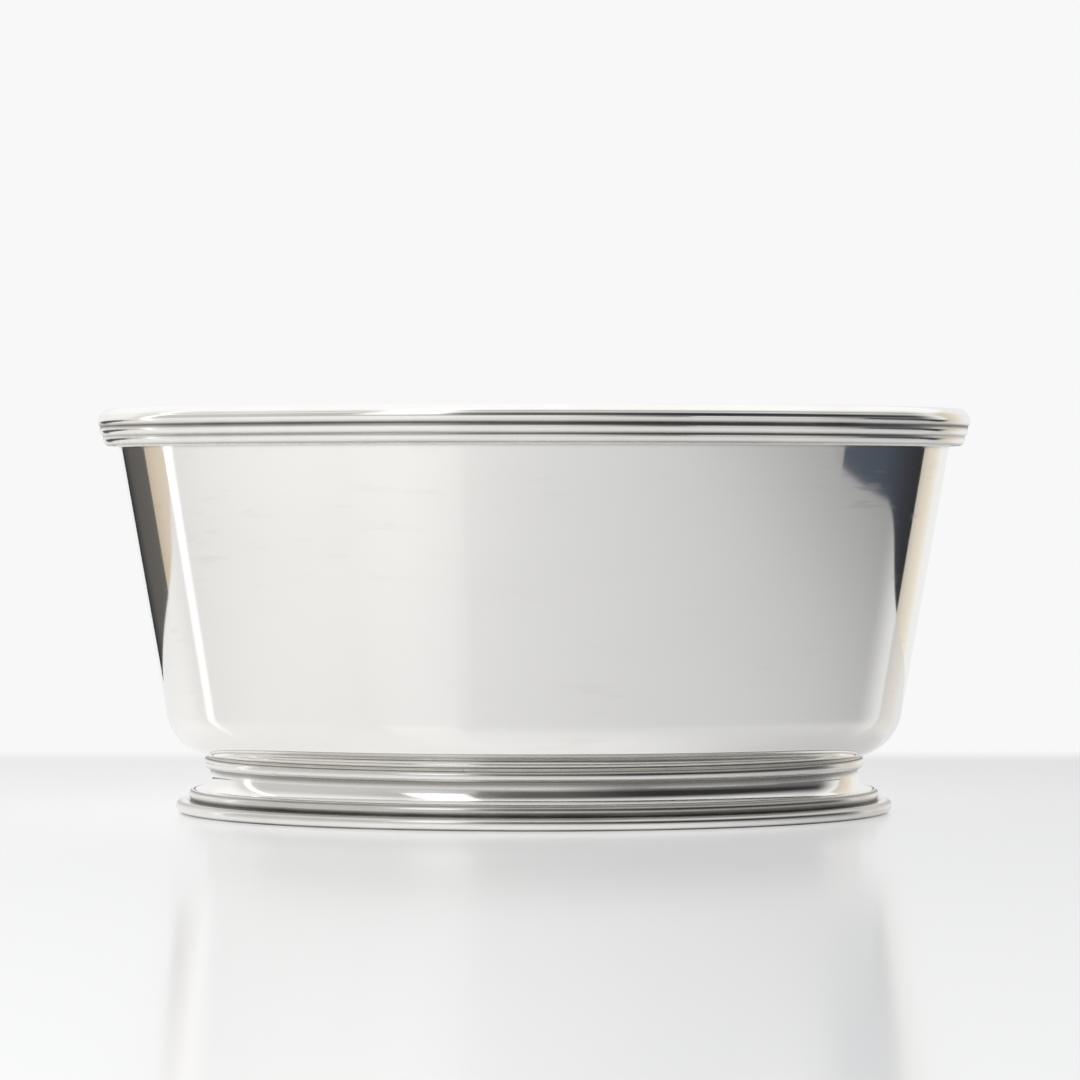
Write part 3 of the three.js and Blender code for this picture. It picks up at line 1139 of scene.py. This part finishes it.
def table_lacquer(studio):
    """The table as the silver sees it, lit on the left, and in shade on the right and beside the foot."""
    graph = Material("table_lacquer")
    _, x, y, _ = graph.coordinates("Object")
    base = graph.mix(x.between(*SHADE_FADE), solid(studio.table_colour), solid(studio.shade_colour))
    base = graph.mix(x.between(*LIGHT_FADE), solid(studio.light_colour), base)
    radius = graph.from_axis(x, y)
    beside = (x.maths("ABSOLUTE") / radius).between(*BESIDE_FADE)
    close = beside * (1.0 - radius.between(*FOOT_FADE))
    strength = x.between(*FOOT_SIDES) * (RIGHT_SHADE - LEFT_SHADE) + LEFT_SHADE
    base = graph.mix(close * strength, base, solid(studio.foot_shade))
    return graph.shown(lacquer(graph, studio, base))


def floor_lacquer(studio):
    """The table as the camera sees it, running out into the white of the backdrop."""
    graph = Material("floor_lacquer")
    _, x, y, _ = graph.coordinates("Object")
    far, near = y.between(*FAR_FADE), (0.0 - y).between(*NEAR_FADE)
    side = x.maths("ABSOLUTE").between(*SIDE_FADE)
    faded = far.maths("MAXIMUM", near).maths("MAXIMUM", side)
    white = graph.node("ShaderNodeEmission", None, {"Color": solid(grey(studio.backdrop_level))})
    gloss = lacquer(graph, studio, solid(studio.table_colour))
    matt = graph.node("ShaderNodeBsdfDiffuse", None, {"Color": solid(studio.table_colour)})
    surface = graph.node("ShaderNodeMixShader", None, {0: studio.table_matt, 1: gloss, 2: matt})
    graph.material.cycles.emission_sampling = "NONE"
    return graph.shown(graph.node("ShaderNodeMixShader", None, {0: faded, 1: surface, 2: white}))


def table_outline():
    """The table's top, with round corners."""
    corners = [Vector(corner) for corner in TABLE_CORNERS]
    points = []
    for place, corner in enumerate(corners):
        before, after = corners[place - 1], corners[(place + 1) % len(corners)]
        first = corner + (before - corner).normalized() * TABLE_ROUNDING
        last = corner + (after - corner).normalized() * TABLE_ROUNDING
        for step in range(ROUNDING_STEPS + 1):
            t = step / ROUNDING_STEPS
            points.append(first.lerp(corner, t).lerp(corner.lerp(last, t), t))
    return points


def lay_table(scene):
    """Lays the table that the silver mirrors, and just above it the floor that the camera sees."""
    studio = scene.bowl_studio
    outline = table_outline()
    mesh = bpy.data.meshes.new("table")
    mesh.from_pydata([(p.x, p.y, -TABLE_DROP) for p in outline], [], [range(len(outline))])
    stage_object(scene, "table", mesh, table_lacquer(studio), ("camera",))
    corners = [(-1, -1), (1, -1), (1, 1), (-1, 1)]
    mesh = bpy.data.meshes.new("floor")
    mesh.from_pydata([(x * FLOOR_REACH, y * FLOOR_REACH, 0.0) for x, y in corners], [], [range(4)])
    rays = ("diffuse", "glossy", "transmission", "shadow")
    stage_object(scene, "floor", mesh, floor_lacquer(studio), rays)


# Colours of the room that the silver mirrors
ROOM_LEFT = (0.62, 0.615, 0.60)
ROOM_FRONT = (0.12, 0.117, 0.111)
ROOM_RIGHT = (0.03, 0.03, 0.032)
LOW_FRONT = (0.56, 0.55, 0.535)
BEYOND_FRONT = (1.0, 0.99, 0.97)
LOW_RIGHT = (0.16, 0.157, 0.155)
ROOM_ABOVE = (1.08, 1.08, 1.07)
ROOM_BEHIND = (0.92, 0.92, 0.915)
ABOVE_BEHIND = (1.04, 1.04, 1.035)

# Ramps of the room, along the parts of a direction: to the right, away from the camera and up
LEFT_TO_MIDDLE = (-1.0, 0.0)
MIDDLE_TO_RIGHT = (0.0, 0.7)
HORIZON = (-0.01, 0.0)
WALL_RISE = (0.04, 0.26)
ABOVE_LEAN = 0.3
ABOVE_RISE = (0.37, 0.79)
BEHIND_DEPTH = (0.5, 0.74)
BEHIND_TOP = (0.75, 0.97)
BEHIND_RISE = (0.1, 0.3)


def light_room(scene):
    """White behind the bowl for the camera, soft light for the table, and a room for the silver."""
    studio = scene.bowl_studio
    world = bpy.data.worlds.new("studio_room")
    scene.world = world
    world.use_nodes = True
    graph = Graph(world.node_tree)
    _, side, depth, rise = graph.coordinates("Generated")

    def around(left, middle, right):
        """A colour that changes from left to right round the room."""
        across = graph.mix(side.between(*LEFT_TO_MIDDLE), solid(left), solid(middle))
        return graph.mix(side.between(*MIDDLE_TO_RIGHT), across, solid(right))

    beyond = around(BEYOND_FRONT, BEYOND_FRONT, LOW_RIGHT)
    low = graph.mix(rise.between(*HORIZON), beyond, around(ROOM_LEFT, LOW_FRONT, LOW_RIGHT))
    wall = graph.mix(rise.between(*WALL_RISE), low, around(ROOM_LEFT, ROOM_FRONT, ROOM_RIGHT))
    leant = rise + depth * ABOVE_LEAN
    front = graph.mix(leant.between(*ABOVE_RISE), wall, solid(ROOM_ABOVE))
    behind = depth.between(*BEHIND_DEPTH) * (1.0 - rise.between(*BEHIND_TOP))
    white = graph.mix(rise.between(*BEHIND_RISE), solid(ROOM_BEHIND), solid(ABOVE_BEHIND))
    room = graph.mix(behind, front, white)
    path = graph.node("ShaderNodeLightPath")
    mirrored = path.output("Is Glossy Ray").maths("MAXIMUM", path.output("Is Transmission Ray"))
    seen = graph.mix(mirrored, solid(grey(studio.soft_level)), room)
    seen = graph.mix(path.output("Is Camera Ray"), seen, solid(grey(studio.backdrop_level)))
    light = graph.node("ShaderNodeBackground", None, {"Color": seen})
    graph.node("ShaderNodeOutputWorld", None, {"Surface": light})


KEY_PLACE = Vector((-1.7, -1.5, 2.2))
KEY_SIZE = 1.3
SENSOR_WIDTH = 36.0


def aimed(item, place, target):
    item.location = place
    item.rotation_euler = (target - place).to_track_quat("-Z", "Y").to_euler()


def hang_key(scene):
    """One large soft lamp on the left that brightens that side of the table."""
    lamp = bpy.data.lights.new("key_lamp", "AREA")
    lamp.shape = "SQUARE"
    lamp.size = KEY_SIZE
    lamp.energy = scene.bowl_studio.key_power
    lamp.use_shadow = False
    item = bpy.data.objects.new("key_lamp", lamp)
    item.visible_glossy = False
    scene.collection.objects.link(item)
    aimed(item, KEY_PLACE, Vector((0.0, 0.0, 0.0)))


def place_camera(scene):
    studio = scene.bowl_studio
    lens = bpy.data.cameras.new("camera")
    lens.sensor_width = SENSOR_WIDTH
    lens.lens = studio.lens
    item = bpy.data.objects.new("camera", lens)
    scene.collection.objects.link(item)
    place = Vector((0.0, -studio.camera_distance, studio.eye_height))
    aimed(item, place, Vector((studio.aim_side, 0.0, studio.aim_height)))
    scene.camera = item


class BOWL_OT_set_stage(SilverOperator):
    """Set the stage: table, cards, light and camera"""

    bl_idname = "bowl.set_stage"
    bl_label = "Set Stage"

    def build(self, context):
        scene = context.scene
        lay_table(scene)
        material = card_tone()
        for name, (low, high, stops) in CARDS.items():
            stand_card(scene, name, material, low, high, stops)
        light_room(scene)
        hang_key(scene)
        place_camera(scene)
        scene.view_settings.view_transform = "Standard"


class BOWL_PT_pieces(bpy.types.Panel):
    """Lists the pieces of the bowl and their sizes"""

    bl_idname = "BOWL_PT_pieces"
    bl_label = "Silver Bowl"
    bl_space_type = "VIEW_3D"
    bl_region_type = "UI"
    bl_category = "Silver Bowl"

    def draw(self, context):
        for operator in OPERATORS:
            self.layout.operator(operator.bl_idname)
        for name, group in GROUPS.items():
            box = self.layout.box()
            box.label(text=group.__name__)
            for key in group.__annotations__:
                box.prop(getattr(context.scene, name), key)


OPERATORS = (
    BOWL_OT_spin_body,
    BOWL_OT_cap_rim,
    BOWL_OT_raise_foot,
    BOWL_OT_run_solder,
    BOWL_OT_set_stage,
)
CLASSES = (*GROUPS.values(), *OPERATORS, BOWL_PT_pieces)


def register():
    for item in CLASSES:
        bpy.utils.register_class(item)
    for name, group in GROUPS.items():
        setattr(bpy.types.Scene, name, bpy.props.PointerProperty(type=group))


def unregister():
    for name in GROUPS:
        delattr(bpy.types.Scene, name)
    for item in reversed(CLASSES):
        bpy.utils.unregister_class(item)


def main():
    register()
    bpy.ops.bowl.spin_body()
    bpy.ops.bowl.cap_rim()
    bpy.ops.bowl.raise_foot()
    bpy.ops.bowl.run_solder()
    bpy.ops.bowl.set_stage()


if __name__ == "__main__":
    main()
